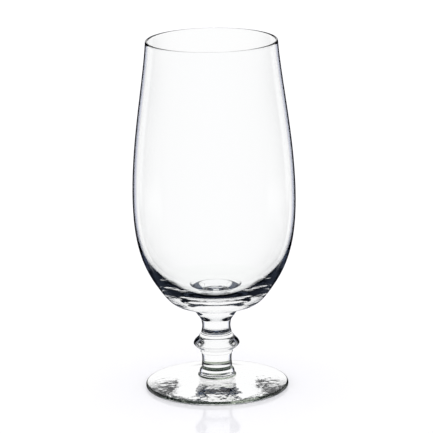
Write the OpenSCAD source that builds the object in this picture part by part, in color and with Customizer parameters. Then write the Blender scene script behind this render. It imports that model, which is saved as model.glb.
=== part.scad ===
// Footed beer glass: a blown barrel bowl on a knopped stem and a disc foot.
// The three pieces are fused hot, face to face, along one axis.
// Origin at the middle of the plane that the glass stands on, +Z up, millimetres.

/* [Bowl] */
// Height of the bowl from the stem to the rim
bowl_h = 137; // [120:1:160]
// Outer radius at the rim
rim_r = 32.9; // [30:0.1:36]
// Outer radius at the fullest place
belly_r = 40.8; // [38:0.1:44]
// Height of the fullest place above the stem
belly_up = 57.4; // [52:0.1:66]
// Outer radius at the hip, where the base turns up into the side
hip_r = 30.2; // [28:0.1:32]
// Height of the hip above the stem
hip_up = 13.3; // [12:0.1:15]
// Slope of the outside at the hip, in degrees
hip_angle = 56.4; // [50:0.1:62]
// Slope of the outside where it leaves the stem, in degrees
under_angle = 14.3; // [8:0.1:22]
// Wall at the fullest place
wall = 1.35; // [1.1:0.05:2]
// Wall at the rim, which is rounded over
rim_wall = 1.2; // [0.8:0.1:1.6]
// Glass between the outer and the inner hip, measured level
hip_wall = 5; // [3.6:0.1:6]
// Height of the inner hip above the outer hip
inner_hip_rise = 0.3; // [0:0.1:1]
// Slope of the inside at the hip, in degrees
inner_hip_angle = 43.6; // [40:0.1:52]
// Glass under the inner floor, beside the button
floor_t = 8.2; // [7.6:0.1:9]
// Slope of the inner floor beside the button, in degrees
floor_angle = 10.9; // [4:0.1:13]
// Radius of the raised button in the middle of the inner floor
button_r = 13.8; // [12:0.1:15]
// Height of the button
button_h = 2.5; // [0.8:0.1:2.8]

/* [Stem] */
// Radius of the flare under the bowl
flare_r = 11.1; // [9.8:0.1:12]
// Radius of the neck at its ends
neck_end_r = 7.6; // [7.4:0.1:7.8]
// Least radius of the neck
neck_r = 7.1; // [6.6:0.1:7.4]
// Height of the neck
neck_h = 6.2; // [4.6:0.1:7.4]
// Height of the flare above the neck
flare_h = 6.3; // [5:0.1:8]
// Radius of the narrow ledge between the neck and the knop
ledge_r = 8.1; // [7.9:0.1:8.4]
// Height of each fine ledge
ledge_h = 0.7; // [0.5:0.1:0.9]
// Radius at the top of the knop
shoulder_r = 9.4; // [9:0.1:9.8]
// Height of the cone between the ledge and the knop
shoulder_h = 2.5; // [2:0.1:3]
// Radius of the knop
knop_r = 11.6; // [10.8:0.1:12.6]
// Height of the knop above its widest place
knop_up_h = 3.1; // [2.6:0.1:4]
// Height of the knop below its widest place
knop_down_h = 3; // [2.4:0.1:4]
// Radius of the band under the knop
under_r = 8.2; // [8:0.1:9]
// Height of the band under the knop, with its ledge
under_h = 2; // [1.4:0.1:3]
// Radius at both ends of the lower neck
waist_end_r = 7.7; // [7.5:0.1:7.8]
// Least radius of the lower neck
waist_r = 7.4; // [6.8:0.1:7.5]
// Height of the lower neck
waist_h = 6.1; // [5:0.1:8]
// Radius at the top of the collar
collar_top_r = 8; // [7.9:0.1:8.4]
// Height of the groove between the lower neck and the collar
groove_h = 1.8; // [1.4:0.1:2.4]
// Radius at the bottom of the collar
collar_r = 9.2; // [8.8:0.1:9.6]
// Height of the collar
collar_h = 3.1; // [2.4:0.1:4.2]
// Radius of the ring that stands on the foot
ring_r = 9.7; // [9.6:0.1:10.6]
// Height of the ring that stands on the foot
ring_h = 0.9; // [0.6:0.1:1.4]

/* [Foot] */
// Radius of the foot
foot_r = 36.1; // [32:0.1:40]
// Height of the foot at the stem
foot_h = 5.3; // [4:0.1:6.4]
// Height of the foot's edge
edge_h = 2.1; // [1.6:0.1:2.8]
// Width of the flat ring that the glass stands on
rest_w = 3.5; // [2:0.1:6]
// Depth of the hollow under the foot
hollow_h = 1; // [0.2:0.1:1.4]

/* [Hidden] */
glass_colour = [0.93, 0.96, 0.97, 0.4];
revolve_facets = 128;
curve_steps = 20;
fine_steps = 8;
arc_steps = 10;
// Angle at which the rounding of the foot's edge runs into its top
edge_round_angle = 80;

// How far each handle of a curve reaches, as a share of the size that it follows
bowl_under_share = 0.55;
bowl_hip_low_share = 0.74;
bowl_hip_high_share = 0.28;
bowl_belly_low_share = 0.5;
bowl_belly_high_share = 0.366;
bowl_rim_low_share = 0.245;
bowl_rim_taper_share = 0.16;
inner_belly_share = 0.58;
inner_hip_high_share = 0.26;
inner_hip_low_share = 0.38;
floor_share = 0.38;
button_side_share = 0.36;
button_top_share = 0.52;
flare_low_share = 0.13;
flare_out_share = 0.4;
ledge_out_share = 0.4;
ledge_up_share = 0.6;
shoulder_low_share = 0.4;
shoulder_high_share = 0.3;
knop_top_out_share = 0.3;
knop_top_drop_share = 0.2;
knop_side_high_share = 0.45;
knop_side_low_share = 0.15;
knop_under_share = 0.75;
groove_share = 0.3;
collar_low_share = 0.3;
collar_high_share = 0.35;
edge_round_share = 0.44;
foot_out_share = 0.65;
foot_in_share = 0.45;
foot_out_rise_share = 0.7;
hollow_out_share = 0.3;
hollow_in_share = 0.15;

// Heights along the axis, from the plane that the glass stands on
ring_top = foot_h + ring_h;
collar_top = ring_top + collar_h;
groove_top = collar_top + groove_h;
waist_top = groove_top + waist_h;
under_top = waist_top + under_h;
knop_mid = under_top + knop_down_h;
knop_top = knop_mid + knop_up_h;
shoulder_top = knop_top + shoulder_h;
ledge_top = shoulder_top + ledge_h;
neck_top = ledge_top + neck_h;
stem_top = neck_top + flare_h;
glass_h = stem_top + bowl_h;

// Places that several curves share
belly_z = stem_top + belly_up;
rim_z = glass_h - rim_wall / 2;
hip = [hip_r, stem_top + hip_up];
inner_hip = [hip[0] - hip_wall, hip[1] + inner_hip_rise];
button_edge = [button_r, stem_top + floor_t];

// Radius of the face where the ring is fused to the foot
ring_face_r = ring_r - ring_h / 2;
edge_round = edge_round_share * edge_h;
rest_out_r = foot_r - edge_round;
rest_in_r = rest_out_r - rest_w;
edge_round_middle = [rest_out_r, edge_h - edge_round];

// Points of a cubic curve from a to d, pulled towards b and c
function curve(a, b, c, d, steps = curve_steps) = [
    for (i = [0:steps])
        let (t = i / steps, u = 1 - t)
            u * u * u * a + 3 * u * u * t * b + 3 * u * t * t * c + t * t * t * d
];

// Points of an arc, with angles in degrees
function arc(middle, radius, start, end, steps = arc_steps) = [
    for (i = [0:steps])
        let (angle = start + (end - start) * i / steps)
            middle + radius * [cos(angle), sin(angle)]
];

// Points of a neck between two equal ends, drawn in at the middle
function drawn_in(end_r, least_r, low_z, height) = [
    for (i = [0:curve_steps])
        [end_r - (end_r - least_r) * sin(180 * i / curve_steps), low_z + height * i / curve_steps]
];

// The list without its last point, so that joined curves share one point
function open_end(points) = [for (i = [0:len(points) - 2]) points[i]];

// Step of a given length in a given direction
function pace(length, angle) = length * [cos(angle), sin(angle)];

module turned(points) {
    rotate_extrude($fn = revolve_facets) polygon(points);
}

// Outside of the bowl, from the stem up to the start of the rounded rim
function bowl_outside() = concat(
    open_end(curve(
        [flare_r, stem_top],
        [flare_r, stem_top] + pace(bowl_under_share * (hip_r - flare_r), under_angle),
        hip - pace(bowl_hip_low_share * (hip_r - flare_r), hip_angle),
        hip
    )),
    open_end(curve(
        hip,
        hip + pace(bowl_hip_high_share * (belly_z - hip[1]), hip_angle),
        [belly_r, belly_z - bowl_belly_low_share * (belly_z - hip[1])],
        [belly_r, belly_z]
    )),
    open_end(curve(
        [belly_r, belly_z],
        [belly_r, belly_z + bowl_belly_high_share * (glass_h - belly_z)],
        [rim_r + bowl_rim_taper_share * (belly_r - rim_r), rim_z - bowl_rim_low_share * (glass_h - belly_z)],
        [rim_r, rim_z]
    ))
);

// Inside of the bowl, from the rounded rim down to the button
function bowl_inside() = let (
    inner_r = belly_r - wall,
    inner_rim_r = rim_r - rim_wall
) concat(
    open_end(curve(
        [inner_rim_r, rim_z],
        [inner_rim_r + bowl_rim_taper_share * (belly_r - rim_r), rim_z - bowl_rim_low_share * (glass_h - belly_z)],
        [inner_r, belly_z + bowl_belly_high_share * (glass_h - belly_z)],
        [inner_r, belly_z]
    )),
    open_end(curve(
        [inner_r, belly_z],
        [inner_r, belly_z - inner_belly_share * (belly_z - inner_hip[1])],
        inner_hip + pace(inner_hip_high_share * (belly_z - inner_hip[1]), inner_hip_angle),
        inner_hip
    )),
    open_end(curve(
        inner_hip,
        inner_hip - pace(inner_hip_low_share * (inner_hip[0] - button_r), inner_hip_angle),
        button_edge + pace(floor_share * (inner_hip[0] - button_r), floor_angle),
        button_edge
    ))
);

// The raised button on the inner floor, from its steep edge to the axis
function bowl_button() = curve(
    button_edge,
    button_edge + [0, button_side_share * button_h],
    [button_top_share * button_r, button_edge[1] + button_h],
    [0, button_edge[1] + button_h]
);

module bowl() {
    color(glass_colour) turned(concat(
        [[0, stem_top]],
        bowl_outside(),
        open_end(arc([rim_r - rim_wall / 2, rim_z], rim_wall / 2, 0, 180)),
        bowl_inside(),
        bowl_button()
    ));
}

// Ring, collar and groove at the bottom of the stem
function stem_base() = concat(
    open_end(arc([ring_face_r, foot_h + ring_h / 2], ring_h / 2, -90, 90)),
    open_end(curve(
        [ring_face_r, ring_top],
        [collar_r - collar_low_share * (collar_r - collar_top_r), ring_top],
        [collar_r, collar_top - collar_high_share * collar_h],
        [collar_top_r, collar_top]
    )),
    open_end(curve(
        [collar_top_r, collar_top],
        [waist_end_r, collar_top],
        [waist_end_r, collar_top + groove_share * groove_h],
        [waist_end_r, groove_top]
    ))
);

// Lower neck, with the fine ledge and the band between it and the knop
function stem_waist() = concat(
    open_end(drawn_in(waist_end_r, waist_r, groove_top, waist_h)),
    curve(
        [waist_end_r, waist_top],
        [waist_end_r, waist_top + ledge_up_share * ledge_h],
        [waist_end_r + ledge_out_share * (under_r - waist_end_r), waist_top + ledge_h],
        [under_r, waist_top + ledge_h],
        fine_steps
    )
);

// The knop and the cone above it
function stem_knop() = concat(
    open_end(curve(
        [under_r, under_top],
        [knop_r - knop_under_share * (knop_r - under_r), under_top],
        [knop_r, knop_mid - knop_side_low_share * knop_down_h],
        [knop_r, knop_mid]
    )),
    open_end(curve(
        [knop_r, knop_mid],
        [knop_r, knop_mid + knop_side_high_share * knop_up_h],
        [shoulder_r + knop_top_out_share * (knop_r - shoulder_r), knop_top - knop_top_drop_share * knop_up_h],
        [shoulder_r, knop_top]
    )),
    open_end(curve(
        [shoulder_r, knop_top],
        [shoulder_r - shoulder_low_share * (shoulder_r - ledge_r), knop_top + shoulder_low_share * shoulder_h],
        [ledge_r, shoulder_top - shoulder_high_share * shoulder_h],
        [ledge_r, shoulder_top]
    ))
);

// Fine ledge over the cone, the neck and the flare under the bowl
function stem_head() = concat(
    open_end(curve(
        [ledge_r, shoulder_top],
        [neck_end_r + ledge_out_share * (ledge_r - neck_end_r), shoulder_top],
        [neck_end_r, ledge_top - ledge_up_share * ledge_h],
        [neck_end_r, ledge_top],
        fine_steps
    )),
    open_end(drawn_in(neck_end_r, neck_r, ledge_top, neck_h)),
    curve(
        [neck_end_r, neck_top],
        [neck_end_r, neck_top + flare_low_share * flare_h],
        [flare_r + flare_out_share * (flare_r - neck_end_r), stem_top],
        [flare_r, stem_top]
    )
);

module stem() {
    color(glass_colour) turned(concat(
        [[0, foot_h]],
        stem_base(),
        stem_waist(),
        stem_knop(),
        stem_head(),
        [[0, stem_top]]
    ));
}

// Hollow under the foot, from the axis out to the flat ring
function foot_hollow() = curve(
    [0, hollow_h],
    [hollow_in_share * rest_in_r, hollow_h],
    [rest_in_r - hollow_out_share * rest_in_r, 0],
    [rest_in_r, 0]
);

// Rounded edge of the foot, from the flat ring up to the start of the top
function foot_edge() = concat(
    arc([rest_out_r, edge_round], edge_round, -90, 0),
    arc(edge_round_middle, edge_round, 0, edge_round_angle)
);

// Top of the foot, from the edge up to the ring of the stem
function foot_top() = let (
    start = edge_round_middle + pace(edge_round, edge_round_angle),
    span = start[0] - ring_r
) curve(
    start,
    [start[0] - foot_out_share * span, start[1] + foot_out_rise_share * (foot_h - start[1])],
    [ring_r + foot_in_share * span, foot_h],
    [ring_r, foot_h]
);

module foot() {
    color(glass_colour) turned(concat(
        foot_hollow(),
        open_end(foot_edge()),
        foot_top(),
        [[0, foot_h]]
    ));
}

bowl();
stem();
foot();
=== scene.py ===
# Stemmed beer glass: a blown bowl, a knopped stem and a disc foot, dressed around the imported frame.
import math

import bmesh
import bpy
from mathutils import Euler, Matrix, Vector
from mathutils.geometry import interpolate_bezier
from mathutils.kdtree import KDTree


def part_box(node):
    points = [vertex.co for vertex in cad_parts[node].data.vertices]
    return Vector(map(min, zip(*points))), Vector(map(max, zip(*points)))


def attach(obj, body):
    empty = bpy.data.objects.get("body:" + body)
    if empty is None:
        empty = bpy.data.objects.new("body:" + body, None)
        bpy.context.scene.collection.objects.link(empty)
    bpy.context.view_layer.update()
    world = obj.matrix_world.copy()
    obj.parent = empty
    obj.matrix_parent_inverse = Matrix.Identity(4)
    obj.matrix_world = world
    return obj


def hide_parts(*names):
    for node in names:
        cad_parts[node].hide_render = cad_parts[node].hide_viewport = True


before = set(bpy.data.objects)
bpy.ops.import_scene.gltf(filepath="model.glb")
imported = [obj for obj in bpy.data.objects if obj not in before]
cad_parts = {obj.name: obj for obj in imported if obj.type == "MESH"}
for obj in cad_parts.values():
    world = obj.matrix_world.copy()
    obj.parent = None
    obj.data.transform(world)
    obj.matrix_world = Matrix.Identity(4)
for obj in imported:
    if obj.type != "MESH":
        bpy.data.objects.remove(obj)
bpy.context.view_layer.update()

mm = 0.001
scene = bpy.context.scene
studio = bpy.data.collections.new("studio")
scene.collection.children.link(studio)


# Curves and turning, shared by the three pieces

turning = {
    "steps": 256,  # round the glass
    "weld": 0.01 * mm,
    "sharpDegrees": 28,
    "sidePoints": 40,  # along the bowl's curves and the foot's hollow
    "topPoints": 60,
    "knopPoints": 32,
    "collarPoints": 24,
    "ledgePoints": 12,
    "neckPoints": 25,
    "roundPoints": 16,
}


def bend(start, startHandle, endHandle, end, points=turning["sidePoints"]):
    return [Vector((p.x, 0, p.y)) for p in interpolate_bezier(start, startHandle, endHandle, end, points)]


def roundOver(middle, radius, fromDegrees, toDegrees):
    last = turning["roundPoints"] - 1
    angles = [math.radians(fromDegrees + (toDegrees - fromDegrees) * i / last) for i in range(last + 1)]
    return [Vector((middle[0] + radius * math.cos(a), 0, middle[1] + radius * math.sin(a))) for a in angles]


# A short length that draws in to its least radius half way up
def drawnIn(endRadius, leastRadius, low, height):
    last = turning["neckPoints"] - 1
    depth = endRadius - leastRadius
    parts = [i / last for i in range(last + 1)]
    return [Vector((endRadius - depth * math.sin(math.pi * t), 0, low + height * t)) for t in parts]


def flatFace(height, *radii):
    return [Vector((r, 0, height)) for r in radii]


def pace(start, length, degrees):
    angle = math.radians(degrees)
    return (start[0] + length * math.cos(angle), start[1] + length * math.sin(angle))


# One outline from stretches of points, and for each step along it the kind of glass that it makes
def joined(*stretches):
    line, kinds = [], []
    for kind, points in stretches:
        for p in points:
            if not line:
                line.append(p)
            elif (p - line[-1]).length > turning["weld"]:
                line.append(p)
                kinds.append(kind)
    return line, kinds


# Turns an outline about the glass's axis. Each kind of glass has its own material.
def turnedPiece(name, outline, materials):
    line, kinds = outline
    slots = list(materials)
    bm = bmesh.new()
    verts = [bm.verts.new(p) for p in line]
    for a, b in zip(verts, verts[1:]):
        bm.edges.new((a, b))
    bmesh.ops.spin(
        bm, geom=bm.verts[:] + bm.edges[:], cent=(0, 0, 0), axis=(0, 0, 1), dvec=(0, 0, 0),
        angle=math.tau, steps=turning["steps"], use_merge=True, use_duplicate=False,
    )
    bmesh.ops.remove_doubles(bm, verts=bm.verts[:], dist=turning["weld"] / 4)
    bmesh.ops.recalc_face_normals(bm, faces=bm.faces[:])
    places = KDTree(len(line))
    for i, p in enumerate(line):
        places.insert(p, i)
    places.balance()
    for face in bm.faces:
        face.smooth = True
        step = min(places.find((v.co.xy.length, 0, v.co.z))[1] for v in face.verts)
        face.material_index = slots.index(kinds[step])
    sharp = math.radians(turning["sharpDegrees"])
    for edge in bm.edges:
        atJoint = any(slots[f.material_index] == "joint" for f in edge.link_faces)
        turnsSharply = len(edge.link_faces) == 2 and edge.calc_face_angle() > sharp
        edge.smooth = not (turnsSharply or atJoint)
    mesh = bpy.data.meshes.new(name)
    bm.to_mesh(mesh)
    bm.free()
    for kind in slots:
        mesh.materials.append(materials[kind])
    piece = bpy.data.objects.new(name, mesh)
    scene.collection.objects.link(piece)
    return piece


# Nodes, for the glass and for the studio

floatMix = {"type": "FLOAT", "first": 2, "second": 3, "result": 0}  # places of the Mix node's sockets
colourMix = {"type": "RGBA", "first": 6, "second": 7, "result": 2}


def newMaterial(name):
    material = bpy.data.materials.new(name)
    material.use_nodes = True
    nodes = material.node_tree.nodes
    nodes.clear()
    out = nodes.new("ShaderNodeOutputMaterial")
    return material, nodes, material.node_tree.links, out


def feed(links, socket, value):
    if hasattr(value, "is_output"):
        links.new(value, socket)
    else:
        socket.default_value = value


def maths(nodes, links, operation, *values):
    node = nodes.new("ShaderNodeMath")
    node.operation = operation
    for socket, value in zip(node.inputs, values):
        feed(links, socket, value)
    return node.outputs["Value"]


def mixed(nodes, links, kind, factor, first, second):
    node = nodes.new("ShaderNodeMix")
    node.data_type = kind["type"]
    feed(links, node.inputs["Factor"], factor)
    feed(links, node.inputs[kind["first"]], first)
    feed(links, node.inputs[kind["second"]], second)
    return node.outputs[kind["result"]]


# Rises from 0 to 1 while the value goes from the low end to the high end
def rise(nodes, links, value, low, high, smooth=False):
    node = nodes.new("ShaderNodeMapRange")
    if smooth:
        node.interpolation_type = "SMOOTHSTEP"
    node.inputs["From Min"].default_value = low
    node.inputs["From Max"].default_value = high
    links.new(value, node.inputs["Value"])
    return node.outputs["Result"]


def gentleNoise(nodes, links, place, scale):
    node = nodes.new("ShaderNodeTexNoise")
    node.inputs["Scale"].default_value = scale
    node.inputs["Detail"].default_value = 1
    links.new(place.outputs["Object"], node.inputs["Vector"])
    return node.outputs["Fac"]


# Glass

glassLook = {
    "ior": 1.5,
    "tint": (0.995, 0.998, 1, 1),
    "specularTint": (0.08, 0.08, 0.08, 1),
    # painted edge shade: near black, with a bluish painted half-shade on the way to it
    "paintedEdgeShade": (0.0004, 0.0005, 0.0009, 1),
    "paintedEdgeHalfShade": (0.3, (0.66, 0.7, 0.92, 1)),  # place on the ramp, colour
    "bowlPaintedShade": (0.69, 0.83),  # where the painted edge shade begins and is full, 0 facing and 1 edge-on
    "stemPaintedShade": (0.45, 0.6),
    # painted shade and painted highlight for the stem's ring and groove and the foot's rounded edge: near
    # black and pale green, with the green cast that long paths through the glass have
    "oliveTintAndPaintedShade": (0.01, 0.014, 0.011, 1),
    "paintedOliveHighlight": (0.5, 0.59, 0.45, 1),
    "paintedHighlightSpots": (70, 0.5, 0.62),  # noise scale, where the painted highlight spots begin and are full
    "baseTint": (0.965, 0.982, 0.968, 1),
    "bowlWaves": (60, 0.02),  # noise scale, bump strength
    "baseWaves": (150, 0.2),
    "stemWaves": (90, 0.06),
    "footWaves": (220, 0.5),
    "waveHeight": 0.4 * mm,
}


# Painted shade: the base colour goes through a bluish half-shade to near black where the outer faces are
# seen edge-on, standing in for the dark room that clear glass shows there
def paintedEdgeShadeRamp(nodes, links, tint, paintedShadeRange):
    facing = nodes.new("ShaderNodeLayerWeight")
    facing.inputs["Blend"].default_value = 0.5
    shade = nodes.new("ShaderNodeValToRGB")
    stops = shade.color_ramp.elements
    stops[0].color = tint
    stops[1].color = glassLook["paintedEdgeShade"]
    halfShadeAt, halfShade = glassLook["paintedEdgeHalfShade"]
    stops.new(halfShadeAt).color = halfShade
    links.new(rise(nodes, links, facing.outputs["Facing"], *paintedShadeRange), shade.inputs["Fac"])
    return shade.outputs["Color"]


# Painted shade with painted highlights: noise spots of pale green highlight over the near-black tint
def shadeWithPaintedHighlights(nodes, links, place, tint, spots):
    scale, begins, full = spots
    patches = rise(nodes, links, gentleNoise(nodes, links, place, scale), begins, full)
    return mixed(nodes, links, colourMix, patches, tint, glassLook["paintedOliveHighlight"])


# Glass of the given tint, with painted edge shade when a range for it is given and painted highlight spots
# when those are given
def clearGlass(name, waves, tint=glassLook["tint"], paintedShadeRange=None, spots=None):
    material, nodes, links, out = newMaterial(name)
    place = nodes.new("ShaderNodeTexCoord")
    shader = nodes.new("ShaderNodeBsdfPrincipled")
    shader.inputs["Roughness"].default_value = 0
    shader.inputs["IOR"].default_value = glassLook["ior"]
    shader.inputs["Transmission Weight"].default_value = 1
    shader.inputs["Base Color"].default_value = tint
    shader.inputs["Specular Tint"].default_value = glassLook["specularTint"]
    if paintedShadeRange:
        links.new(paintedEdgeShadeRamp(nodes, links, tint, paintedShadeRange), shader.inputs["Base Color"])
    if spots:
        links.new(shadeWithPaintedHighlights(nodes, links, place, tint, spots), shader.inputs["Base Color"])
    scale, strength = waves
    bump = nodes.new("ShaderNodeBump")
    bump.inputs["Strength"].default_value = strength
    bump.inputs["Distance"].default_value = glassLook["waveHeight"]
    links.new(gentleNoise(nodes, links, place, scale), bump.inputs["Height"])
    links.new(bump.outputs["Normal"], shader.inputs["Normal"])
    links.new(shader.outputs["BSDF"], out.inputs["Surface"])
    return material


# Fused faces are inside one length of glass, so light goes straight through them
def fusedJoint():
    material, nodes, links, out = newMaterial("fusedJoint")
    clear = nodes.new("ShaderNodeBsdfTransparent")
    links.new(clear.outputs["BSDF"], out.inputs["Surface"])
    return material


# Bowl. Heights are above its base.

bowlSizes = {
    "rimRadius": 32.9 * mm,
    "rimWall": 1.2 * mm,
    "wall": 1.35 * mm,
    "bellyUp": 57.4 * mm,
    "hip": (30.2 * mm, 13.3 * mm),  # radius, height
    "hipDegrees": 56.4,
    "flareRadius": 11.1 * mm,
    "underDegrees": 14.3,
    "innerHip": (25.2 * mm, 13.6 * mm),
    "innerHipDegrees": 43.6,
    "buttonEdge": (13.8 * mm, 8.2 * mm),
    "buttonHeight": 2.5 * mm,
    "floorDegrees": 10.9,
    "thickUp": 26 * mm,  # the outer wall has no painted edge shade below this
    "underReach": 0.55,  # from here down, how far each curve's handles reach
    "hipLow": 0.74,
    "hipHigh": 0.28,
    "bellyLow": 0.5,
    "bellyHigh": 0.366,
    "rimLow": 0.245,
    "rimTaper": 0.16,
    "innerBelly": 0.58,
    "innerHipHigh": 0.26,
    "innerHipLow": 0.38,
    "floorReach": 0.38,
    "buttonSide": 0.36,
    "buttonTop": 0.52,
}


def bowlLine():
    s = bowlSizes
    low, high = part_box("bowl")
    base, top = low.z, high.z
    bellyRadius = high.x
    flare = s["flareRadius"]
    belly = base + s["bellyUp"]
    rimMiddle = top - s["rimWall"] / 2
    taper = s["rimTaper"] * (bellyRadius - s["rimRadius"])
    rimPull = rimMiddle - s["rimLow"] * (top - belly)
    bellyPull = belly + s["bellyHigh"] * (top - belly)
    innerRadius = bellyRadius - s["wall"]
    innerRim = s["rimRadius"] - s["rimWall"]
    hip = (s["hip"][0], base + s["hip"][1])
    innerHip = (s["innerHip"][0], base + s["innerHip"][1])
    edge = (s["buttonEdge"][0], base + s["buttonEdge"][1])
    buttonTop = edge[1] + s["buttonHeight"]
    contact = flatFace(base, 0, flare / 2, flare)
    under = bend(
        (flare, base),
        pace((flare, base), s["underReach"] * (hip[0] - flare), s["underDegrees"]),
        pace(hip, -s["hipLow"] * (hip[0] - flare), s["hipDegrees"]),
        hip,
    )
    side = bend(
        hip,
        pace(hip, s["hipHigh"] * (belly - hip[1]), s["hipDegrees"]),
        (bellyRadius, belly - s["bellyLow"] * (belly - hip[1])),
        (bellyRadius, belly),
    )
    thickSide = [p for p in side if p.z < base + s["thickUp"]]
    thinSide = [p for p in side if p.z >= base + s["thickUp"]]
    upper = bend(
        (bellyRadius, belly),
        (bellyRadius, bellyPull),
        (s["rimRadius"] + taper, rimPull),
        (s["rimRadius"], rimMiddle),
    )
    rim = roundOver((s["rimRadius"] - s["rimWall"] / 2, rimMiddle), s["rimWall"] / 2, 0, 180)
    innerUpper = bend(
        (innerRim, rimMiddle),
        (innerRim + taper, rimPull),
        (innerRadius, bellyPull),
        (innerRadius, belly),
    )
    innerSide = bend(
        (innerRadius, belly),
        (innerRadius, belly - s["innerBelly"] * (belly - innerHip[1])),
        pace(innerHip, s["innerHipHigh"] * (belly - innerHip[1]), s["innerHipDegrees"]),
        innerHip,
    )
    floor = bend(
        innerHip,
        pace(innerHip, -s["innerHipLow"] * (innerHip[0] - edge[0]), s["innerHipDegrees"]),
        pace(edge, s["floorReach"] * (innerHip[0] - edge[0]), s["floorDegrees"]),
        edge,
    )
    button = bend(
        edge,
        (edge[0], edge[1] + s["buttonSide"] * s["buttonHeight"]),
        (s["buttonTop"] * edge[0], buttonTop),
        (0, buttonTop),
    )
    # The "edge" stretches get glass with painted shade where they are seen edge-on
    return joined(
        ("joint", contact), ("plain", under), ("plain", thickSide), ("edge", thinSide), ("edge", upper),
        ("plain", rim), ("plain", innerUpper), ("plain", innerSide), ("base", floor), ("base", button),
    )


# Stem, from the ring on the foot up to the flare under the bowl

stemSizes = {
    "ringRadius": 9.7 * mm,
    "ringHeight": 0.9 * mm,
    "collarRadius": 9.2 * mm,
    "collarTopRadius": 8 * mm,
    "collarHeight": 3.1 * mm,
    "grooveHeight": 1.8 * mm,
    "waistEndRadius": 7.7 * mm,
    "waistRadius": 7.4 * mm,
    "waistHeight": 6.1 * mm,
    "underHeight": 2 * mm,
    "underRadius": 8.2 * mm,
    "knopDown": 3 * mm,
    "knopUp": 3.1 * mm,
    "shoulderRadius": 9.4 * mm,
    "shoulderHeight": 2.5 * mm,
    "ledgeRadius": 8.1 * mm,
    "ledgeHeight": 0.7 * mm,
    "neckEndRadius": 7.6 * mm,
    "neckRadius": 7.1 * mm,
    "neckHeight": 6.2 * mm,
    "collarIn": 0.3,  # from here down, how far each curve's handles reach
    "collarDrop": 0.35,
    "grooveUp": 0.3,
    "ledgeOut": 0.4,
    "ledgeUp": 0.6,
    "knopUnder": 0.75,
    "knopSideLow": 0.15,
    "knopSideHigh": 0.45,
    "knopTopOut": 0.3,
    "knopTopDrop": 0.2,
    "shoulderLow": 0.4,
    "shoulderHigh": 0.3,
    "flareLow": 0.13,
    "flareOut": 0.4,
}


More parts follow.
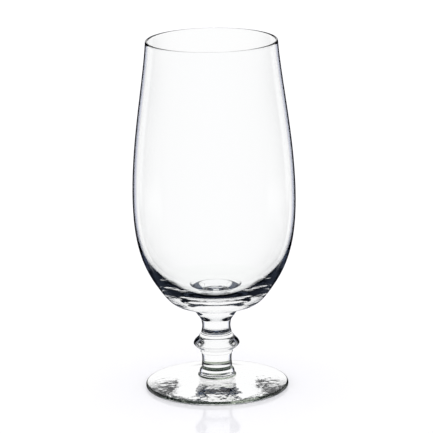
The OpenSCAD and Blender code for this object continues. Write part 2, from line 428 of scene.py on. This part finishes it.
def stemLine():
    s = stemSizes
    lowCorner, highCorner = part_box("stem")
    low, high = lowCorner.z, highCorner.z
    knopRadius = highCorner.x
    ringRadius, ringHeight = s["ringRadius"], s["ringHeight"]
    collarRadius, collarTopRadius, collarHeight = s["collarRadius"], s["collarTopRadius"], s["collarHeight"]
    waistEnd, under, ledge = s["waistEndRadius"], s["underRadius"], s["ledgeHeight"]
    shoulder, ledgeRadius, neckEnd = s["shoulderRadius"], s["ledgeRadius"], s["neckEndRadius"]
    flare = bowlSizes["flareRadius"]
    ringFace = ringRadius - ringHeight / 2
    ringTop = low + ringHeight
    collarTop = ringTop + collarHeight
    grooveTop = collarTop + s["grooveHeight"]
    waistTop = grooveTop + s["waistHeight"]
    underTop = waistTop + s["underHeight"]
    knopMiddle = underTop + s["knopDown"]
    knopTop = knopMiddle + s["knopUp"]
    shoulderTop = knopTop + s["shoulderHeight"]
    ledgeTop = shoulderTop + ledge
    neckTop = ledgeTop + s["neckHeight"]
    bottom = flatFace(low, 0, ringFace / 2, ringFace)
    ring = roundOver((ringFace, low + ringHeight / 2), ringHeight / 2, -90, 90)
    collar = bend(
        (ringFace, ringTop),
        (collarRadius - s["collarIn"] * (collarRadius - collarTopRadius), ringTop),
        (collarRadius, collarTop - s["collarDrop"] * collarHeight),
        (collarTopRadius, collarTop), turning["collarPoints"],
    )
    groove = bend(
        (collarTopRadius, collarTop),
        (waistEnd, collarTop),
        (waistEnd, collarTop + s["grooveUp"] * s["grooveHeight"]),
        (waistEnd, grooveTop), turning["collarPoints"],
    )
    waist = drawnIn(waistEnd, s["waistRadius"], grooveTop, s["waistHeight"])
    lowerLedge = bend(
        (waistEnd, waistTop),
        (waistEnd, waistTop + s["ledgeUp"] * ledge),
        (waistEnd + s["ledgeOut"] * (under - waistEnd), waistTop + ledge),
        (under, waistTop + ledge), turning["ledgePoints"],
    )
    knopLower = bend(
        (under, underTop),
        (knopRadius - s["knopUnder"] * (knopRadius - under), underTop),
        (knopRadius, knopMiddle - s["knopSideLow"] * s["knopDown"]),
        (knopRadius, knopMiddle), turning["knopPoints"],
    )
    knopUpper = bend(
        (knopRadius, knopMiddle),
        (knopRadius, knopMiddle + s["knopSideHigh"] * s["knopUp"]),
        (shoulder + s["knopTopOut"] * (knopRadius - shoulder), knopTop - s["knopTopDrop"] * s["knopUp"]),
        (shoulder, knopTop), turning["knopPoints"],
    )
    coneIn = s["shoulderLow"] * (shoulder - ledgeRadius)
    coneUp = s["shoulderLow"] * s["shoulderHeight"]
    cone = bend(
        (shoulder, knopTop),
        (shoulder - coneIn, knopTop + coneUp),
        (ledgeRadius, shoulderTop - s["shoulderHigh"] * s["shoulderHeight"]),
        (ledgeRadius, shoulderTop), turning["collarPoints"],
    )
    upperLedge = bend(
        (ledgeRadius, shoulderTop),
        (neckEnd + s["ledgeOut"] * (ledgeRadius - neckEnd), shoulderTop),
        (neckEnd, ledgeTop - s["ledgeUp"] * ledge),
        (neckEnd, ledgeTop), turning["ledgePoints"],
    )
    neck = drawnIn(neckEnd, s["neckRadius"], ledgeTop, s["neckHeight"])
    head = bend(
        (neckEnd, neckTop),
        (neckEnd, neckTop + s["flareLow"] * (high - neckTop)),
        (flare + s["flareOut"] * (flare - neckEnd), high),
        (flare, high), turning["knopPoints"],
    )
    top = flatFace(high, flare / 2, 0)
    # The "edge" stretches get painted edge shade, and the ring and groove get near-black green glass,
    # painted shade with painted highlight spots
    return joined(
        ("joint", bottom), ("olivePaintedShade", ring), ("edge", collar), ("olivePaintedShade", groove), ("edge", waist),
        ("plain", lowerLedge), ("plain", knopLower), ("edge", knopUpper), ("plain", cone),
        ("plain", upperLedge), ("edge", neck), ("plain", head), ("joint", top),
    )


# Foot

footSizes = {
    "edgeHeight": 2.1 * mm,
    "edgeRound": 0.44,  # share of the edge's height
    "edgeDegrees": 80,
    "restWidth": 3.5 * mm,
    "hollow": 1 * mm,
    "hollowIn": 0.15,  # from here down, how far each curve's handles reach
    "hollowOut": 0.3,
    "topOut": 0.65,
    "topIn": 0.45,
    "outRise": 0.7,
}


def footLine():
    s = footSizes
    lowCorner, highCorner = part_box("foot")
    low, high = lowCorner.z, highCorner.z
    edgeRound = s["edgeRound"] * s["edgeHeight"]
    restOut = highCorner.x - edgeRound
    restIn = restOut - s["restWidth"]
    ringRadius = stemSizes["ringRadius"]
    ringFace = ringRadius - stemSizes["ringHeight"] / 2
    edgeMiddle = (restOut, low + s["edgeHeight"] - edgeRound)
    start = pace(edgeMiddle, edgeRound, s["edgeDegrees"])
    span = start[0] - ringRadius
    under = bend(
        (0, low + s["hollow"]),
        (s["hollowIn"] * restIn, low + s["hollow"]),
        (restIn - s["hollowOut"] * restIn, low),
        (restIn, low),
    )
    edgeLower = roundOver((restOut, low + edgeRound), edgeRound, -90, 0)
    edgeUpper = roundOver(edgeMiddle, edgeRound, 0, s["edgeDegrees"])
    top = bend(
        start,
        (start[0] - s["topOut"] * span, start[1] + s["outRise"] * (high - start[1])),
        (ringRadius + s["topIn"] * span, high),
        (ringRadius, high), turning["topPoints"],
    )
    seat = flatFace(high, ringFace)
    middle = flatFace(high, ringFace / 2, 0)
    # The foot's rounded top edge gets the near-black green glass, painted shade with painted highlight spots
    return joined(
        ("under", under), ("plain", edgeLower), ("olivePaintedShade", edgeUpper), ("plain", top), ("plain", seat),
        ("joint", middle),
    )


def buildGlass():
    look = glassLook
    joint = fusedJoint()
    # Near-black green glass, painted shade with painted highlight spots, for the stem's ring and groove and
    # the foot's rounded edge
    olivePaintedShade = clearGlass("olivePaintedShadeGlass", look["stemWaves"], tint=look["oliveTintAndPaintedShade"], spots=look["paintedHighlightSpots"])
    # The "edge" materials carry painted edge shade
    bowl = turnedPiece("blownBowl", bowlLine(), {
        "plain": clearGlass("bowlGlass", look["bowlWaves"]),
        "joint": joint,
        "edge": clearGlass("bowlOuterPaintedShadeGlass", look["bowlWaves"], paintedShadeRange=look["bowlPaintedShade"]),
        "base": clearGlass("bowlBaseGlass", look["baseWaves"], tint=look["baseTint"]),
    })
    stem = turnedPiece("knoppedStem", stemLine(), {
        "plain": clearGlass("stemGlass", look["stemWaves"]),
        "joint": joint,
        "edge": clearGlass("stemSidePaintedShadeGlass", look["stemWaves"], paintedShadeRange=look["stemPaintedShade"]),
        "olivePaintedShade": olivePaintedShade,
    })
    foot = turnedPiece("discFoot", footLine(), {
        "plain": clearGlass("footGlass", look["stemWaves"]),
        "joint": joint,
        "olivePaintedShade": olivePaintedShade,
        "under": clearGlass("footUnderGlass", look["footWaves"]),
    })
    for piece, node in ((bowl, "bowl"), (stem, "stem"), (foot, "foot")):
        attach(piece, "root")
        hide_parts(node)
    print("glass turned:", {piece.name: len(piece.data.polygons) for piece in (bowl, stem, foot)})


# Studio

cameraSizes = {
    "distance": 1.443,
    "height": 0.455,
    "side": 1.03 * mm,
    "pitch": 14.27,
    "roll": -0.98,
    "focalPixels": 2973,
    "framePixels": 433,
    "sensor": 36,
    "clip": (0.05, 30),
}


def setCamera():
    s = cameraSizes
    data = bpy.data.cameras.new("camera")
    data.sensor_width = s["sensor"]
    data.lens = s["focalPixels"] / s["framePixels"] * s["sensor"]
    data.clip_start, data.clip_end = s["clip"]
    camera = bpy.data.objects.new("camera", data)
    studio.objects.link(camera)
    camera.location = (s["side"], -s["distance"], s["height"])
    turn = Euler((math.radians(90 - s["pitch"]), 0, 0)).to_matrix()
    roll = Euler((0, 0, math.radians(s["roll"]))).to_matrix()
    camera.rotation_euler = (turn @ roll).to_euler()
    scene.camera = camera
    print("camera set")


# Heights and angles are in degrees, above level and to each side of straight behind the glass
studioLook = {
    "white": (1, 1, 1, 1),
    "dark": (0.004, 0.005, 0.008, 1),
    "dim": (0.08, 0.1, 0.145, 1),
    "windowSide": 44,
    "windowTop": 45,
    "windowBottom": -80,
    "wallSide": 95,  # a low band, for the thin wall
    "wallTop": -3,
    "wallBottom": -13.5,
    "flankFrom": 40,  # seen off the outside of the glass
    "flankTo": 120,
    "flankBottom": -30,
    "paperSide": 14,  # seen off the paper
    "paperBottom": -3,
    "dimFrom": 138,
    "soft": 3,
    "paper": (0.86, 0.855, 0.9, 1),
    "paperGlow": 0.19,
    "paperRoughness": 0.08,
    "paperGloss": 0.3,
    "paperHalf": 8,
    "paperDrop": 0.05 * mm,
    "afterAny": 0.5,  # a depth above this has passed that kind of bounce
}


def passed(nodes, links, name):
    path = nodes.new("ShaderNodeLightPath")
    return maths(nodes, links, "GREATER_THAN", path.outputs[name], studioLook["afterAny"])


# A white window stands behind the glass, and the rest of the room is dark to reflected rays.
# Rays that come out of the glass see the window, and a low band that keeps the thin wall clear.
# Rays reflected off the outside see it only well to the sides, and the paper reflects its middle.
def setWorld():
    s = studioLook
    world = bpy.data.worlds.new("studioWorld")
    scene.world = world
    world.use_nodes = True
    nodes, links = world.node_tree.nodes, world.node_tree.links
    nodes.clear()
    out = nodes.new("ShaderNodeOutputWorld")
    back = nodes.new("ShaderNodeBackground")
    place = nodes.new("ShaderNodeTexCoord")
    split = nodes.new("ShaderNodeSeparateXYZ")
    links.new(place.outputs["Generated"], split.inputs["Vector"])
    x, y, z = (split.outputs[name] for name in "XYZ")

    def plus(a, b):
        return maths(nodes, links, "ADD", a, b)

    def minus(a, b):
        return maths(nodes, links, "SUBTRACT", a, b)

    def times(a, b):
        return maths(nodes, links, "MULTIPLY", a, b)

    # 1 where the angle whose cosine is given is less than the named one, with a soft end
    def within(cosine, degrees):
        low, high = (math.cos(math.radians(degrees + d)) for d in (s["soft"], -s["soft"]))
        return rise(nodes, links, cosine, low, high, smooth=True)

    levelLength = maths(nodes, links, "POWER", plus(times(x, x), times(y, y)), 0.5)
    towards = maths(nodes, links, "DIVIDE", y, levelLength)
    heights = ("windowTop", "windowBottom", "wallTop", "wallBottom", "flankBottom", "paperBottom")
    above = {name: within(z, 90 - s[name]) for name in heights}
    window = times(within(towards, s["windowSide"]), minus(above["windowBottom"], above["windowTop"]))
    wallBand = times(within(towards, s["wallSide"]), minus(above["wallBottom"], above["wallTop"]))
    fromInside = maths(nodes, links, "MAXIMUM", window, wallBand)
    flanks = minus(within(towards, s["flankTo"]), within(towards, s["flankFrom"]))
    atFlanks = times(flanks, minus(above["flankBottom"], above["windowTop"]))
    atMiddle = times(within(towards, s["paperSide"]), minus(above["paperBottom"], above["windowTop"]))
    inGlass = passed(nodes, links, "Transmission Depth")
    seenWhite = mixed(nodes, links, floatMix, inGlass, plus(atFlanks, atMiddle), fromInside)
    behindCamera = rise(nodes, links, towards, math.cos(math.radians(s["dimFrom"])), -1)
    dimness = mixed(nodes, links, floatMix, inGlass, minus(1, above["flankBottom"]), behindCamera)
    room = mixed(nodes, links, colourMix, dimness, s["dark"], s["dim"])
    seenRoom = times(minus(1, seenWhite), passed(nodes, links, "Glossy Depth"))
    links.new(mixed(nodes, links, colourMix, seenRoom, s["white"], room), back.inputs["Color"])
    links.new(back.outputs["Background"], out.inputs["Surface"])
    print("world set")


# The paper shows its own shade to the camera and plain white through the glass. It lets reflected
# rays by, so that they see the room.
def setFloor():
    s = studioLook
    mesh = bpy.data.meshes.new("floor")
    bm = bmesh.new()
    bmesh.ops.create_grid(bm, x_segments=1, y_segments=1, size=s["paperHalf"])
    bm.to_mesh(mesh)
    bm.free()
    floor = bpy.data.objects.new("floor", mesh)
    studio.objects.link(floor)
    floor.location.z = -s["paperDrop"]
    material, nodes, links, out = newMaterial("paperFloor")
    paper = nodes.new("ShaderNodeBsdfPrincipled")
    paper.inputs["Base Color"].default_value = s["paper"]
    paper.inputs["Roughness"].default_value = s["paperRoughness"]
    paper.inputs["Specular IOR Level"].default_value = s["paperGloss"]
    paper.inputs["Emission Color"].default_value = s["white"]
    paper.inputs["Emission Strength"].default_value = s["paperGlow"]
    white = nodes.new("ShaderNodeEmission")
    white.inputs["Color"].default_value = s["white"]
    clear = nodes.new("ShaderNodeBsdfTransparent")
    path = nodes.new("ShaderNodeLightPath")
    seen = nodes.new("ShaderNodeMixShader")
    through = nodes.new("ShaderNodeMixShader")
    links.new(path.outputs["Is Transmission Ray"], seen.inputs["Fac"])
    links.new(paper.outputs["BSDF"], seen.inputs[1])
    links.new(white.outputs["Emission"], seen.inputs[2])
    links.new(passed(nodes, links, "Glossy Depth"), through.inputs["Fac"])
    links.new(seen.outputs["Shader"], through.inputs[1])
    links.new(clear.outputs["BSDF"], through.inputs[2])
    links.new(through.outputs["Shader"], out.inputs["Surface"])
    mesh.materials.append(material)
    print("floor set")


lightPaths = {
    "all": 32,
    "throughGlass": 24,
    "offGlass": 24,
    "throughJoints": 32,
}


def setLightPaths():
    scene.view_settings.view_transform = "Standard"
    scene.cycles.max_bounces = lightPaths["all"]
    scene.cycles.transmission_bounces = lightPaths["throughGlass"]
    scene.cycles.glossy_bounces = lightPaths["offGlass"]
    scene.cycles.transparent_max_bounces = lightPaths["throughJoints"]
    print("light paths set")


setCamera()
setWorld()
setFloor()
setLightPaths()
buildGlass()
